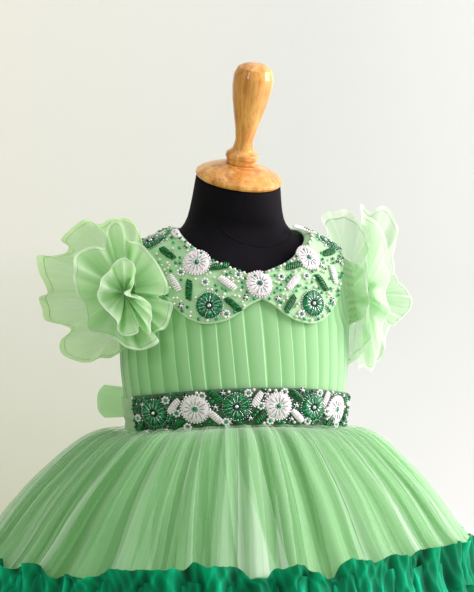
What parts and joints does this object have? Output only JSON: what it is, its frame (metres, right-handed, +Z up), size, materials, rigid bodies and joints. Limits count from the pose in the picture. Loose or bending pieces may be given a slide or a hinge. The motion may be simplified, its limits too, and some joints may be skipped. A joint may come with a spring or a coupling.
{
  "type": "girl's party dress on a limbless dress form",
  "caption": "Small girl's net party dress with ruffled cap sleeves, beaded collar and belt, back bow and frilled hem, on a limbless table-top dress form.",
  "frame": {"origin": "centre of the round base's underside, on the surface that the stand rests on", "axes": "+Z up along the post; the dress faces -Y; +X is the wearer's left"},
  "size_m": [0.5353, 0.5444, 0.6622],
  "materials": {
    "mint_net": "fine matt net over soft lining cloth",
    "mint_organza": "sheer organza with a slight sheen",
    "collar_cloth": "smooth woven cloth with a soft sheen",
    "belt_cloth": "dark green cloth covered with small beads",
    "green_frill": "crisp gathered net",
    "white_beads": "pearly tube beads",
    "green_beads": "glossy dark green tube beads",
    "black_jersey": "matt knitted cover",
    "varnished_wood": "satin varnish"
  },
  "bodies": {
    "root": {"form_torso": "black_jersey", "form_neck_cap": "varnished_wood", "form_knob": "varnished_wood", "stand_post": "varnished_wood", "stand_base": "varnished_wood", "bodice_front": "mint_net", "bodice_back_left": "mint_net", "bodice_back_right": "mint_net", "collar_right": "collar_cloth", "collar_left": "collar_cloth", "belt_front": "belt_cloth", "flower_front_centre": "white_beads", "flower_front_right_low": "green_beads", "flower_front_left_low": "green_beads", "flower_front_right_high": "white_beads", "flower_front_left_high": "white_beads", "flower_shoulder_right": "green_beads", "flower_shoulder_left": "green_beads", "flower_belt_1": "green_beads", "flower_belt_2": "white_beads", "flower_belt_3": "green_beads", "flower_belt_4": "white_beads", "flower_belt_5": "green_beads", "flower_belt_6": "white_beads", "skirt_front": "mint_net", "skirt_back": "mint_net", "hem_frill_front": "green_frill", "hem_frill_back": "green_frill", "sleeve_cap_right": "mint_organza", "sleeve_frill_inner_right": "mint_organza", "sleeve_frill_middle_right": "mint_organza", "sleeve_frill_outer_right": "mint_organza", "sleeve_cap_left": "mint_organza", "sleeve_frill_inner_left": "mint_organza", "sleeve_frill_middle_left": "mint_organza", "sleeve_frill_outer_left": "mint_organza", "sash_right": "mint_organza", "sash_left": "mint_organza", "bow_knot": "mint_organza", "bow_loop_right": "mint_organza", "bow_loop_left": "mint_organza", "bow_tail_right": "mint_organza", "bow_tail_left": "mint_organza"}
  },
  "joints": []
}
